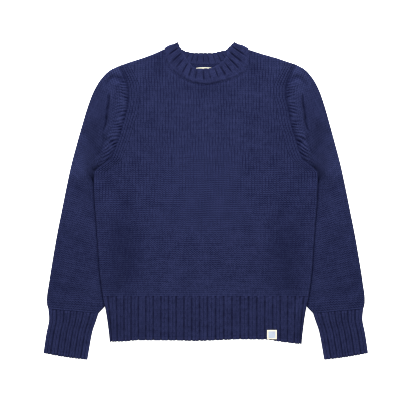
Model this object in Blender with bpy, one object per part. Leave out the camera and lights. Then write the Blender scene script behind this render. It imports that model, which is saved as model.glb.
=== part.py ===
"""A chunky knitted crew-neck sweater with set-in sleeves, laid flat on a surface.

The front lies up, seen from straight above, with the collar towards +Y and the hem towards -Y.
The sleeves are laid down beside the body, and their inner sides are tucked under its side edges.
Sizes in the tables are millimetres. X and Y are measured from the middle of the whole garment,
and Z from the surface that it lies on.
"""

import bpy
import numpy as np

MM = 0.001

# Cloth: the thickness of plain knit, of the ribs' crests and grooves, and the gap between pieces
WALL = 3.0
RIB_CREST = 3.9
RIB_GROOVE = 2.3
RIB_PLAIN = 2.5
GAP = 0.3
FOLD_INSET = 3.0
RIB_SLOPE = 0.2
FOLD_EDGE_SHARE = 0.4

# The two layers of a piece laid flat, and the level of the body where a sleeve lies under it
LAYERS = 2 * WALL + GAP
FRONT_LEVEL = WALL + GAP
BODY_OVER_SLEEVE = LAYERS + GAP

# The body's half width, from the hem's corners up to the armpits
BODY_HALF = (
    # height, half width
    (-301, 201.5),
    (-270, 204.5),
    (-232, 209.5),
    (-200, 216),
    (-150, 222.5),
    (-100, 226),
    (-50, 229.5),
    (-16, 232.5),
    (12, 234),
    (34, 235),
    (47, 236),
    (60, 236),
)
HEM_SEAM = -200
ARMPIT = 60

# How much of the lift over the sleeve the body has at each height
LIFT = (
    # height, share
    (-301, 0.0),
    (-285, 0.0),
    (-232, 1.0),
    (34, 1.0),
    (47, 0.45),
    (60, 0.0),
)

# How far the inner edge of the sleeve reaches in under the body; below zero it is outside
TUCK = (
    # height, reach
    (-237, -19),
    (-229, -11),
    (-220, 0),
    (-200, 9),
    (-150, 32),
    (-100, 43),
    (-50, 46),
    (-16, 32),
    (12, 14),
    (34, 0),
    (60, 0),
)
TUCK_LEAST = 6
SLEEVE_CLEAR = 1.2
# The body comes down from the sleeve to the surface in this many steps
SLOPE = (
    # distance from the sleeve's edge, share of the lift that is left
    (0, 1.0),
    (8, 0.86),
    (16, 0.5),
    (24, 0.14),
    (32, 0.0),
)

# The armhole seams from the shoulder tips to the armpits
ARMHOLE = (
    # left x, left y, right x, right y
    (-182, 283, 189, 286),
    (-171, 262, 175, 259),
    (-164, 243, 167, 237),
    (-162, 224, 167, 218),
    (-165, 196, 173, 196),
    (-173, 163, 178, 163),
    (-183, 130, 188, 131),
    (-193, 102, 197, 101),
    (-200, 86, 203, 86),
    (-216, 74, 217, 74),
    (-236, 60, 236, 60),
)

# The necklines, and the collar's upper edge, from the left side to the right
NECK = (
    # front seam x, y, back seam x, y, front edge x, y, back edge x, y
    (-87, 318, -87, 318, -60, 333, -60, 333),
    (-84, 292, -81, 305, -52, 318, -56, 324),
    (-73, 276, -64, 297, -45, 305, -48, 316),
    (-54, 260, -44, 291, -36, 291, -37, 312),
    (-30, 249, -22, 288, -23, 278, -20, 310),
    (0, 244, 0, 287, -2, 276, -2, 310),
    (28, 248, 22, 288, 16, 279, 14, 310),
    (54, 255, 44, 291, 30, 289, 28, 313),
    (75, 264, 66, 297, 41, 299, 42, 316),
    (89, 285, 84, 305, 46, 318, 54, 324),
    (90, 317, 90, 317, 61, 333, 61, 333),
)
COLLAR_RIBS = 15
COLLAR_ROWS = (0.0, 0.5, 1.0)

# The shoulder line's columns, as shares of its length from the tip
SHOULDER_COLUMNS = (0.0, 0.03, 0.14, 0.3, 0.46, 0.62, 0.8)

# The hem rib
HEM_LINE = (
    # x, y
    (-201, -295),
    (-150, -293),
    (-60, -294),
    (0, -294),
    (70, -291),
    (135, -292),
    (165, -297),
    (202, -301),
)
HEM_RIBS = 27
HEM_CROWDING = 0.08
HEM_ROWS = (0.0, 0.34, 0.64, 0.9, 1.0)

# Rings of the left sleeve, from the armhole seam to the cuff seam; the right one mirrors them.
# The x of a ring's inner end comes from the reach under the body at its height.
SLEEVE_RINGS = (
    # outer x, outer y, inner y, share of the armhole's curve
    (-182, 283, 60, 1.0),
    (-202, 273, 58, 0.8),
    (-220, 255, 55, 0.6),
    (-235, 230, 52, 0.4),
    (-247, 199, 47, 0.22),
    (-258, 163, 41, 0.1),
    (-270, 121, 34, 0.03),
    (-282, 76, 12, 0.0),
    (-292, 30, -16, 0.0),
    (-302, -20, -50, 0.0),
    (-312, -70, -100, 0.0),
    (-321, -122, -150, 0.0),
    (-329, -172, -190, 0.0),
    (-334, -208, -215, 0.0),
    (-333, -220, -229, 0.0),
    (-330, -228, -237, 0.0),
)

# The armhole's curve dies out sooner towards the armpit
UNDERARM_FADE = 2

# Rings of the left cuff, from its seam to its edge
CUFF_RINGS = (
    # outer x, outer y, inner x, inner y
    (-330, -228, -229, -237),
    (-329, -250, -233, -255),
    (-334, -279, -239, -276),
    (-341, -318, -249, -333),
)
CUFF_RIBS = 7

# Folds that stand up on the left sleeve, each with the points of its crest
SLEEVE_FOLDS = {
    "cap_ridge": {
        "height": 6.0,
        "half_width": 12,
        "crest": ((-187, 240), (-194, 216), (-197, 186), (-199, 160), (-207, 127), (-215, 100), (-221, 88)),
    },
    "outer_puff": {
        "height": 2.6,
        "half_width": 17,
        "crest": ((-217, 236), (-231, 200), (-238, 168)),
    },
    "below_crease": {
        "height": 3.0,
        "half_width": 14,
        "crest": ((-254, 122), (-249, 92), (-256, 55)),
    },
}
FOLD_WALL_SHARE = 0.5
SLEEVE_FOLD_FADE = 14

# Labels: the hem's lies across the ribs' crests, and the neck's shows above the front band
LABEL_THICK = 0.8
HEM_LABEL = {"x": 138, "y": -280, "width": 21, "height": 20}
NECK_LABEL = {"left": -20, "right": 14, "side_y": 280.3, "middle_y": 283}
NECK_LABEL_STEPS = 6

# Colours and finish
COLOURS = {
    # name: red, green, blue
    "wool_body": (0.027, 0.032, 0.098),
    "wool_rib": (0.020, 0.025, 0.070),
    "label_cloth": (0.93, 0.90, 0.80),
}
ROUGHNESS = 0.9


def columns(table, *wanted):
    """The named columns of a table, as one array each."""
    values = np.array(table, dtype=float)
    return [values[:, index] for index in wanted]


def along(table, at, column):
    """A column of a table at one height, in straight steps between its rows."""
    heights, values = columns(table, 0, column)
    order = np.argsort(heights)
    return np.interp(at, heights[order], values[order])


def resample(points, shares):
    """Points at the given shares of a line's length."""
    points = np.asarray(points, dtype=float)
    steps = np.linalg.norm(np.diff(points, axis=0), axis=1)
    lengths = np.concatenate(([0.0], np.cumsum(steps)))
    wanted = np.asarray(shares) * lengths[-1]
    return np.column_stack([np.interp(wanted, lengths, points[:, axis]) for axis in (0, 1)])


def line_length(points):
    """The length of a line through plan points."""
    return float(np.linalg.norm(np.diff(np.asarray(points, dtype=float), axis=0), axis=1).sum())


def moved_sideways(points, distance):
    """A line moved to its left by a distance, along its own normals."""
    points = np.asarray(points, dtype=float)
    tangent = np.gradient(points, axis=0)
    tangent /= np.linalg.norm(tangent, axis=1)[:, None]
    return points + distance * np.column_stack((-tangent[:, 1], tangent[:, 0]))


def body_base(x, y):
    """The height of the body's underside: on the surface, or lifted where a sleeve is under it."""
    lift = BODY_OVER_SLEEVE * along(LIFT, y, 1)
    reach = max(along(TUCK, y, 1), TUCK_LEAST)
    beyond = along(BODY_HALF, y, 1) - abs(x) - reach
    distance, share = columns(SLOPE, 0, 1)
    return lift * float(np.interp(beyond, distance, share))


def sleeve_fold(x, y):
    """How far the sleeve's upper layer stands up above lying flat, for the left sleeve."""
    height = 0.0
    for fold in SLEEVE_FOLDS.values():
        crest = resample(fold["crest"], np.linspace(0.0, 1.0, 40))
        nearest = np.hypot(crest[:, 0] - x, crest[:, 1] - y).min()
        height = max(height, fold["height"] * np.exp(-(nearest / fold["half_width"]) ** 2))
    edge = -along(BODY_HALF, y, 1)
    clear = np.clip((edge - x) / SLEEVE_FOLD_FADE, 0.0, 1.0) if y < ARMPIT else 1.0
    return height * clear


def body_columns(y):
    """The x of each column of the body's panels, along a row below the armpits."""
    half = along(BODY_HALF, y, 1)
    reach = max(along(TUCK, y, 1), TUCK_LEAST)
    near_edge = np.array([0.0, FOLD_INSET] + [reach + step for step, share in SLOPE])
    middle = np.linspace(near_edge[-1] - half, half - near_edge[-1], len(NECK) + 2)
    return np.concatenate((near_edge - half, middle[1:-1], (half - near_edge)[::-1]))


def panel_grid(neck_x, neck_y):
    """Plan points of a body panel, as rows from the hem seam up to the shoulders and neckline."""
    rows = []
    below = [row[0] for row in BODY_HALF if HEM_SEAM < row[0] < ARMPIT]
    for height in [HEM_SEAM + GAP / 2] + below:
        xs = body_columns(height)
        rows.append(np.column_stack((xs, np.full(len(xs), height))))

    left_seam = with_end_insets(np.column_stack(columns(ARMHOLE, 0, 1)))[::-1]
    right_seam = with_end_insets(np.column_stack(columns(ARMHOLE, 2, 3)))[::-1]
    bottom_x = body_columns(ARMPIT)
    bottom = np.column_stack((bottom_x, np.full(len(bottom_x), ARMPIT)))
    neck = np.column_stack(columns(NECK, neck_x, neck_y))
    left_shoulder = resample((left_seam[-1], neck[0]), SHOULDER_COLUMNS)
    right_shoulder = resample((right_seam[-1], neck[-1]), SHOULDER_COLUMNS)[::-1]
    top = np.vstack((left_shoulder, neck, right_shoulder))

    # The armhole's curve dies out along the shoulder, and the columns at the neck are straight
    near_left = np.zeros(len(top))
    near_left[:len(SHOULDER_COLUMNS)] = 1 - np.array(SHOULDER_COLUMNS)
    near_left, near_right = near_left[:, None], near_left[::-1, None]
    middle_seam = (left_seam[:, 1] + right_seam[:, 1]) / 2
    up = (middle_seam - middle_seam[0]) / (middle_seam[-1] - middle_seam[0])
    for step, share in enumerate(up):
        straight = (1 - share) * bottom + share * top
        left_bend = left_seam[step] - straight[0]
        right_bend = right_seam[step] - straight[-1]
        rows.append(straight + near_left * left_bend + near_right * right_bend)
    return np.array(rows)


def with_end_insets(seam):
    """A seam line with a point a small way in from each of its ends."""
    first = seam[0] + FOLD_INSET * (seam[1] - seam[0]) / np.linalg.norm(seam[1] - seam[0])
    last = seam[-1] + FOLD_INSET * (seam[-2] - seam[-1]) / np.linalg.norm(seam[-2] - seam[-1])
    return np.vstack((seam[:1], first, seam[1:-1], last, seam[-1:]))


def inset_panel(grid):
    """A panel drawn in by half a gap along its armholes and neckline, clear of its neighbours."""
    grid = grid.copy()
    seam_rows = slice(-len(ARMHOLE) - 2, None)
    grid[seam_rows, 0] = moved_sideways(grid[seam_rows, 0], -GAP / 2)
    grid[seam_rows, -1] = moved_sideways(grid[seam_rows, -1], GAP / 2)
    first = len(SHOULDER_COLUMNS)
    last = first + len(NECK)
    grid[-1, first:last] = moved_sideways(grid[-1, first:last], -GAP / 2)
    return grid


def make_object(name, points, faces, material, collection):
    """A mesh object from points in millimetres, its faces turned outwards by their order."""
    mesh = bpy.data.meshes.new(name)
    mesh.from_pydata([tuple(float(value) * MM for value in point) for point in points], [], faces)
    mesh.materials.append(material)
    mesh.validate()
    mesh.shade_smooth()
    mesh.set_sharp_from_angle(angle=np.radians(40))
    shape = bpy.data.objects.new(name, mesh)
    collection.objects.link(shape)
    return shape


def skin_faces(corners, layer):
    """The two triangles of a cell on the outer skin, and the same two turned over on the inner one."""
    first, second, third, fourth = corners
    outer = [(first, second, third), (first, third, fourth)]
    return outer + [tuple(corner + layer for corner in reversed(face)) for face in outer]


def cap_faces(points, here, there, layer):
    """The two triangles of a tube's end between its skins, split from their higher outer corner."""
    if points[here][2] >= points[there][2]:
        return [(there, here, layer + there), (here, layer + here, layer + there)]
    return [(there, here, layer + here), (there, layer + here, layer + there)]


def sheet_solid(name, grid, upper, lower, material, collection):
    """A closed sheet over a grid of plan points, between two grids of heights."""
    row_count, column_count = grid.shape[:2]
    points = []
    for heights in (upper, lower):
        for row in range(row_count):
            for column in range(column_count):
                points.append((*grid[row, column], heights[row, column]))
    layer = row_count * column_count

    def at(row, column, side):
        return side * layer + row * column_count + column

    faces = []
    for row in range(row_count - 1):
        for column in range(column_count - 1):
            corners = [at(row, column, 0), at(row, column + 1, 0)]
            corners += [at(row + 1, column + 1, 0), at(row + 1, column, 0)]
            faces += skin_faces(corners, layer)
    rim = [(0, column) for column in range(column_count)]
    rim += [(row, column_count - 1) for row in range(1, row_count)]
    rim += [(row_count - 1, column) for column in range(column_count - 2, -1, -1)]
    rim += [(row, 0) for row in range(row_count - 2, 0, -1)]
    for here, there in zip(rim, rim[1:] + rim[:1]):
        faces.append([at(*here, 1), at(*there, 1), at(*there, 0), at(*here, 0)])
    return make_object(name, points, faces, material, collection)


def tube_solid(name, outer, inner, material, collection):
    """A closed tube wall through outer and inner rings of points, open at both its ends."""
    ring_count, size = outer.shape[:2]
    points = [tuple(point) for ring in outer for point in ring]
    points += [tuple(point) for ring in inner for point in ring]
    layer = ring_count * size
    faces = []
    for ring in range(ring_count - 1):
        for here in range(size):
            there = (here + 1) % size
            corners = [ring * size + here, ring * size + there]
            corners += [(ring + 1) * size + there, (ring + 1) * size + here]
            faces += skin_faces(corners, layer)
    last = (ring_count - 1) * size
    for here in range(size):
        there = (here + 1) % size
        faces += cap_faces(points, here, there, layer)
        far_cap = cap_faces(points, last + here, last + there, layer)
        faces += [tuple(reversed(face)) for face in far_cap]
    return make_object(name, points, faces, material, collection)


def flat_ring(front, back, front_outer, front_inner):
    """The outer and inner loops of a tube laid flat, from its two plan lines and upper heights."""
    def shrunk(line):
        length = line_length(line)
        steps = np.linalg.norm(np.diff(line, axis=0), axis=1)
        shares = np.concatenate(([0.0], np.cumsum(steps))) / length
        return resample(line, (WALL + shares * (length - 2 * WALL)) / length)

    front, back = np.asarray(front), np.asarray(back)
    outer_front = np.column_stack((front, front_outer))
    outer_back = np.column_stack((back, np.zeros(len(back))))
    middle = WALL + GAP / 2
    for line in (outer_front, outer_back):
        for end in (0, -1):
            line[end, 2] = middle + FOLD_EDGE_SHARE * (line[end, 2] - middle)
    inner_front = np.column_stack((shrunk(front), front_inner))
    inner_back = np.column_stack((shrunk(back), np.full(len(back), WALL)))
    return np.vstack((outer_front, outer_back[::-1])), np.vstack((inner_front, inner_back[::-1]))


def rib_steps(count, length):
    """Shares along a ribbed edge of a length, and the crest at each: flat crests between grooves."""
    inset = FOLD_INSET / length
    shares, crests = [0.0, inset], [1.0, 1.0]
    for rib in range(count):
        if rib > 0:
            shares += [rib / count, (rib + RIB_SLOPE) / count]
            crests += [0.0, 1.0]
        if rib < count - 1:
            shares.append((rib + 1 - RIB_SLOPE) / count)
            crests.append(1.0)
    return np.array(shares + [1 - inset, 1.0]), np.array(crests + [1.0, 1.0])


def rib_height(crest):
    """The rib cloth's thickness, from its groove to its crest."""
    return RIB_GROOVE + crest * (RIB_CREST - RIB_GROOVE)


def make_body(material, collection):
    """The front and back panels, the front on the back."""
    for name, level, neck_columns in (("front", FRONT_LEVEL, (0, 1)), ("back", 0.0, (2, 3))):
        grid = panel_grid(*neck_columns)
        base = np.array([[body_base(x, y) if y < ARMPIT else 0.0 for x, y in row] for row in grid])
        lower = base + level
        upper = lower + WALL
        shoulder = len(SHOULDER_COLUMNS)
        folded = np.zeros(base.shape, dtype=bool)
        side_rows = len(grid) - len(ARMHOLE) - 1
        folded[:side_rows, [0, -1]] = True
        folded[-1, :shoulder] = folded[-1, -shoulder:] = True
        if name == "front":
            upper[folded] -= (1 - FOLD_EDGE_SHARE) * WALL
        else:
            lower[folded] += (1 - FOLD_EDGE_SHARE) * WALL
        sheet_solid(name, inset_panel(grid), upper, lower, material, collection)


def hem_point(share, down):
    """A plan point of the hem rib, at a share of its width and a share of its depth."""
    half = along(BODY_HALF, HEM_SEAM, 1)
    foot = np.interp((2 * share - 1) * half, *columns(HEM_LINE, 0, 1))
    y = (HEM_SEAM - GAP / 2) * (1 - down) + foot * down
    return (2 * share - 1) * along(BODY_HALF, y, 1), y


def hem_level(x, y):
    """The body's level in the hem rib, in straight steps between the panels' columns."""
    xs = body_columns(y)
    return float(np.interp(x, xs, [body_base(column, y) for column in xs]))


def make_hem_rib(material, collection):
    """The front and back hem ribs; the ribs are raised on the front's outer face."""
    width = 2 * along(BODY_HALF, HEM_SEAM, 1)
    shares, crests = rib_steps(HEM_RIBS, width)
    crowded = shares - HEM_CROWDING * np.sin(2 * np.pi * shares) / (2 * np.pi)
    plain = (body_columns(HEM_SEAM) / width) + 0.5
    for name, level, across in (("front_rib", FRONT_LEVEL, crowded), ("back_rib", 0.0, plain)):
        grid = np.array([[hem_point(share, down) for share in across] for down in reversed(HEM_ROWS)])
        lower = np.array([[hem_level(x, y) + level for x, y in row] for row in grid])
        thick = rib_height(crests) if name == "front_rib" else np.full(len(across), RIB_PLAIN)
        upper = lower + thick
        if name == "front_rib":
            upper[:, [0, -1]] = lower[:, [0, -1]] + FOLD_EDGE_SHARE * RIB_CREST
        else:
            lower[:, [0, -1]] += (1 - FOLD_EDGE_SHARE) * RIB_PLAIN
        sheet_solid(name, grid, upper, lower, material, collection)


def sleeve_line(ring, armhole):
    """The plan line of one sleeve ring, from its outer edge to its inner edge."""
    outer_x, outer_y, inner_y, curve = ring
    inner_x = along(TUCK, inner_y, 1) - along(BODY_HALF, inner_y, 1) - SLEEVE_CLEAR
    start, end = np.array((outer_x, outer_y)), np.array((inner_x, inner_y))
    steps = np.linalg.norm(np.diff(armhole, axis=0), axis=1)
    shares = np.concatenate(([0.0], np.cumsum(steps))) / steps.sum()
    bend = armhole - (armhole[0] + shares[:, None] * (armhole[-1] - armhole[0]))
    inset = FOLD_INSET / np.linalg.norm(end - start)
    shares[1], shares[-2] = inset, 1 - inset
    bend[[1, -2]] = 0.0
    fade = curve ** (1 + UNDERARM_FADE * shares[:, None])
    return start + shares[:, None] * (end - start) + fade * bend


def make_tube(name, side, lines, upper_heights, inner_heights, material, collection):
    """A flat tube for one side, from plan lines and heights that are given for the left."""
    outer, inner = [], []
    for line, upper, above in zip(lines, upper_heights, inner_heights):
        placed = line * (-side, 1)
        loops = flat_ring(placed, placed, upper, above)
        outer.append(loops[0])
        inner.append(loops[1])
    order = 1 if side > 0 else -1
    tube_solid(name, np.array(outer)[::order], np.array(inner)[::order], material, collection)


def make_sleeve(name, side, material, collection):
    """One sleeve, from the armhole seam to the cuff seam, flat on the surface."""
    picked = (0, 1) if side < 0 else (2, 3)
    armhole = with_end_insets(np.column_stack(columns(ARMHOLE, *picked)) * (-side, 1))
    lines = [moved_sideways(armhole, -GAP / 2)]
    lines += [sleeve_line(ring, armhole) for ring in SLEEVE_RINGS[1:]]
    folds = [np.array([sleeve_fold(x, y) for x, y in line]) for line in lines]
    folds[0] = np.zeros(len(armhole))
    uppers = [LAYERS + fold for fold in folds]
    inners = [FRONT_LEVEL + FOLD_WALL_SHARE * fold for fold in folds]
    make_tube(name, side, lines, uppers, inners, material, collection)


def make_cuff(name, side, material, collection):
    """One cuff, ribbed on its upper face."""
    lines = []
    for outer_x, outer_y, inner_x, inner_y in CUFF_RINGS:
        start, end = np.array((outer_x, outer_y)), np.array((inner_x, inner_y))
        shares, crests = rib_steps(CUFF_RIBS, np.linalg.norm(end - start))
        lines.append(start + shares[:, None] * (end - start))
    lines[0] = lines[0] - (0, GAP)
    uppers = [FRONT_LEVEL + rib_height(crests)] * len(lines)
    inners = [np.full(len(crests), FRONT_LEVEL)] * len(lines)
    make_tube(name, side, lines, uppers, inners, material, collection)


def make_collar(material, collection):
    """The collar, one ribbed ring laid flat: its front half on its back half."""
    front_seam = moved_sideways(np.column_stack(columns(NECK, 0, 1)), GAP / 2)
    back_seam = moved_sideways(np.column_stack(columns(NECK, 2, 3)), GAP / 2)
    front_edge, back_edge = np.column_stack(columns(NECK, 4, 5)), np.column_stack(columns(NECK, 6, 7))
    shares, crests = rib_steps(COLLAR_RIBS, line_length(front_seam))
    upper, above = FRONT_LEVEL + rib_height(crests), np.full(len(crests), FRONT_LEVEL)
    loops = []
    for up in COLLAR_ROWS:
        front = resample(front_seam, shares) * (1 - up) + resample(front_edge, shares) * up
        back = resample(back_seam, shares) * (1 - up) + resample(back_edge, shares) * up
        loops.append(flat_ring(front, back, upper, above))
    outer = np.array([loop[0] for loop in loops])
    inner = np.array([loop[1] for loop in loops])
    tube_solid("collar", outer, inner, material, collection)


def make_hem_label(material, collection):
    """A small woven label, flat on the crests of the front hem rib."""
    level = FRONT_LEVEL + RIB_CREST + GAP + LABEL_THICK / 2
    size = (HEM_LABEL["width"] * MM, HEM_LABEL["height"] * MM, LABEL_THICK * MM)
    bpy.ops.mesh.primitive_cube_add(size=1.0)
    label = bpy.context.active_object
    label.name = label.data.name = "hem_label"
    label.scale = size
    label.location = (HEM_LABEL["x"] * MM, HEM_LABEL["y"] * MM, level * MM)
    bpy.ops.object.transform_apply(location=False, rotation=False, scale=True)
    label.data.materials.append(material)
    for holder in list(label.users_collection):
        holder.objects.unlink(label)
    collection.objects.link(label)


def make_neck_label(material, collection):
    """The neck label's strip that shows on the inside of the back, above the front band."""
    xs = np.linspace(NECK_LABEL["left"], NECK_LABEL["right"], NECK_LABEL_STEPS + 1)
    arch = 1 - np.linspace(-1.0, 1.0, len(xs)) ** 2
    top = NECK_LABEL["side_y"] + (NECK_LABEL["middle_y"] - NECK_LABEL["side_y"]) * arch
    bottom = np.interp(xs, *columns(NECK, 4, 5)) + GAP
    grid = np.array([np.column_stack((xs, bottom)), np.column_stack((xs, top))])
    lower = np.full(grid.shape[:2], WALL + GAP)
    sheet_solid("neck_label", grid, lower + LABEL_THICK, lower, material, collection)


def make_material(name):
    """A plain cloth material."""
    material = bpy.data.materials.new(name)
    material.use_nodes = True
    shader = material.node_tree.nodes["Principled BSDF"]
    shader.inputs["Base Color"].default_value = (*COLOURS[name], 1.0)
    shader.inputs["Roughness"].default_value = ROUGHNESS
    shader.inputs["Metallic"].default_value = 0.0
    return material


for existing in list(bpy.data.objects):
    bpy.data.objects.remove(existing, do_unlink=True)

sweater = bpy.data.collections.new("crew_neck_sweater")
bpy.context.scene.collection.children.link(sweater)
wool_body = make_material("wool_body")
wool_rib = make_material("wool_rib")
label_cloth = make_material("label_cloth")

make_body(wool_body, sweater)
make_hem_rib(wool_rib, sweater)
for side_name, side_sign in (("left", -1), ("right", 1)):
    make_sleeve(f"sleeve_{side_name}", side_sign, wool_body, sweater)
    make_cuff(f"cuff_{side_name}", side_sign, wool_rib, sweater)
make_collar(wool_rib, sweater)
make_hem_label(label_cloth, sweater)
make_neck_label(label_cloth, sweater)
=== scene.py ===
import bpy
import numpy as np
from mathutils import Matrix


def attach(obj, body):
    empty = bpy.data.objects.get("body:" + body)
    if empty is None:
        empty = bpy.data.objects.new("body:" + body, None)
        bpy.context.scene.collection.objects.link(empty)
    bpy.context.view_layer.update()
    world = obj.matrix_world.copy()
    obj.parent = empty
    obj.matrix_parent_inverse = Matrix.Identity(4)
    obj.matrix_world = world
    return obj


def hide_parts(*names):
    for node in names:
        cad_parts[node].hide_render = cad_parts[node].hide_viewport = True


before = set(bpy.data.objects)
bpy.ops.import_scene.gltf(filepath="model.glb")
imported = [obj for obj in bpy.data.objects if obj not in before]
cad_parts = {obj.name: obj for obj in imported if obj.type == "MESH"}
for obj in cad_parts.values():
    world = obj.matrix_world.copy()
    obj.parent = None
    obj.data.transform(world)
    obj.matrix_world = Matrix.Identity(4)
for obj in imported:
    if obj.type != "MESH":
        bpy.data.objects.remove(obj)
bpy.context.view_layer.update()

# The camera and the light
# The camera hangs straight above the laid-out sweater. A wide soft box stands towards the collar,
# and an even white surround fills in from all sides, so that shadows are soft and short.
MM = 0.001
VIEW_CENTRE = (4.7, -15.9)
VIEW_HEIGHT = 2069


def add_object(name, data):
    """A new object in the scene."""
    placed = bpy.data.objects.new(name, data)
    bpy.context.scene.collection.objects.link(placed)
    return placed


camera = add_object("camera", bpy.data.cameras.new("camera"))
camera.data.lens = 85
camera.data.sensor_width = 36
camera.location = (VIEW_CENTRE[0] * MM, VIEW_CENTRE[1] * MM, VIEW_HEIGHT * MM)
bpy.context.scene.camera = camera
bpy.context.scene.view_settings.view_transform = "Standard"
bpy.context.scene.cycles.filter_width = 1.0


def hex_colour(code):
    """An sRGB hex colour as linear red, green, blue and full alpha."""
    channels = [int(code[start:start + 2], 16) / 255 for start in (0, 2, 4)]
    return [c / 12.92 if c <= 0.04045 else ((c + 0.055) / 1.055) ** 2.4 for c in channels] + [1.0]


def set_inputs(tree, node, inputs):
    """Sets a node's inputs to values, or links them to sockets."""
    for name, value in inputs.items():
        if isinstance(value, bpy.types.NodeSocket):
            tree.links.new(value, node.inputs[name])
        else:
            node.inputs[name].default_value = value


def add_node(tree, kind, inputs, **settings):
    """Adds a node with its settings and inputs."""
    node = tree.nodes.new("ShaderNode" + kind)
    for name, value in settings.items():
        setattr(node, name, value)
    set_inputs(tree, node, inputs)
    return node


def new_material(name):
    """A new material, with its node tree and its shader."""
    material = bpy.data.materials.new(name)
    material.use_nodes = True
    return material, material.node_tree, material.node_tree.nodes["Principled BSDF"]


def add_area_light(name, power, width, place, target):
    """A square soft box that faces a target."""
    lamp = bpy.data.lights.new(name, "AREA")
    lamp.energy = power
    lamp.size = width
    light = add_object(name, lamp)
    light.location = place
    away = light.location.copy()
    away.x, away.y, away.z = (place[axis] - target[axis] for axis in range(3))
    light.rotation_euler = away.to_track_quat("Z", "Y").to_euler()


add_area_light("soft_box", power=150, width=1.5, place=(0.0, 2.5, 2.0), target=(0.0, 0.0, 0.0))

surround = bpy.data.worlds.new("white_surround")
bpy.context.scene.world = surround
surround.use_nodes = True
background = surround.node_tree.nodes["Background"]
set_inputs(surround.node_tree, background, {"Color": hex_colour("ffffff"), "Strength": 0.5})

# The floor
# A table covered with smooth matt white paper, lit evenly so that it stays white round the wool.
# It glows a little, as paper lit from behind does, which keeps the shadows on it faint.
FLOOR_HALF = 9000
FLOOR_LEVEL = -0.4

floor_mesh = bpy.data.meshes.new("paper_floor")
corners = [(-1, -1), (1, -1), (1, 1), (-1, 1)]
floor_points = [(x * FLOOR_HALF * MM, y * FLOOR_HALF * MM, FLOOR_LEVEL * MM) for x, y in corners]
floor_mesh.from_pydata(floor_points, [], [(0, 1, 2, 3)])
floor = add_object("paper_floor", floor_mesh)
paper, tree, shader = new_material("matt_white_paper")
set_inputs(tree, shader, {
    "Base Color": hex_colour("f2f2f2"), "Roughness": 1.0, "Specular IOR Level": 0.0,
    "Emission Color": hex_colour("ffffff"), "Emission Strength": 0.85,
})
floor_mesh.materials.append(paper)

# The front
# One panel of plain knit in a thick wool yarn, knitted from the hem up. Its outermost four
# stitches run along the armholes, and it is sewn to the rib, the sleeves, the back and the neckband.
WALL = 3.0
GAP = 0.3
LAYERS = 2 * WALL + GAP
MIDDLE = LAYERS / 2
FRONT_LEVEL = WALL + GAP
BODY_OVER_SLEEVE = LAYERS + GAP
HEM_SEAM = -200
ARMPIT = 60
BODY_HALF = (
    # height, half width
    (-301, 201.5), (-270, 204.5), (-232, 209.5), (-200, 216), (-150, 222.5), (-100, 226),
    (-50, 229.5), (-16, 232.5), (12, 234), (34, 235), (47, 236), (60, 236),
)
LIFT = (
    # height, share of the lift over the sleeve
    (-301, 0.0), (-285, 0.0), (-232, 1.0), (22, 1.0), (28, 0.88), (34, 0.5), (47, 0.1), (60, 0.0),
)
TUCK = (
    # height, how far the sleeve reaches in under the body
    (-237, -19), (-229, -11), (-220, 0), (-200, 9), (-150, 32), (-100, 43), (-50, 46),
    (-16, 32), (12, 14), (34, 0), (60, 0),
)
TUCK_LEAST = 6
SLOPE = (
    # distance in from the sleeve's edge, share of the lift that is left
    (0, 1.0), (8, 0.86), (16, 0.5), (24, 0.14), (32, 0.0),
)
ARMHOLE = (
    # left x, left y, right x, right y
    (-182, 283, 189, 286), (-171, 262, 175, 259), (-164, 243, 167, 237), (-162, 224, 167, 218),
    (-165, 196, 173, 196), (-173, 163, 178, 163), (-183, 130, 188, 131), (-193, 102, 197, 101),
    (-200, 86, 203, 86), (-216, 74, 217, 74), (-236, 60, 236, 60),
)
NECK = (
    # front seam x, y, back seam x, y, front edge x, y, back edge x, y
    (-87, 318, -87, 318, -60, 333, -60, 333),
    (-84, 292, -81, 305, -52, 318, -56, 324),
    (-73, 276, -64, 297, -45, 305, -48, 316),
    (-54, 260, -44, 291, -36, 291, -37, 312),
    (-30, 249, -22, 288, -23, 278.6, -20, 310),
    (0, 244, 0, 287, -2, 276.9, -2, 310),
    (28, 248, 22, 288, 16, 279.5, 14, 310),
    (54, 255, 44, 291, 30, 289, 28, 313),
    (75, 264, 66, 297, 41, 299, 42, 316),
    (89, 285, 84, 305, 46, 318, 54, 324),
    (90, 317, 90, 317, 61, 333, 61, 333),
)
SHOULDERS = {
    -1: ((-182, 283), (-159, 291), (-132, 299.5), (-109, 308), (-87, 318)),
    1: ((90, 317), (118, 308), (150, 299), (172, 291.5), (189, 286)),
}
COURSE = 4.5
BODY_WALES = 81
BAND_WALES = 4.25
QUARTER = 0.25
STITCH_RISE = 0.5
STITCH_DEPTH = 2.0
SEAM_DEPTH = 2.0
SEAM_REACH = 6.0
RIB_SEAM_SHARE = 0.3
OPEN_TONE = 0.86
CROWDED_REACH = 17
OPENED = (
    # height, how far the knit is pulled sideways, how much its hollows darken
    (-200, 0.2, 0.5), (-180, 0.1, 0.62), (-150, 0.08, 0.72), (-60, 0.16, 0.78), (20, 0.3, 0.9),
    (70, 0.5, 0.84), (120, 0.86, 0.72), (300, 0.88, 0.72),
)
PICK_UP_REACH = 7
PICK_UPS = 62
SIDE_SHADE = 0.45
CREASE_SHADE = 0.55
CREASE_FULL = 3.0
LEG_PROFILE = ((0, 0.0), (0.25, 1.0), (0.5, 0.6), (0.75, 1.0), (1, 0.0))
COURSE_HOLLOW = 0.9
BARE_TONE = 0.13
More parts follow.
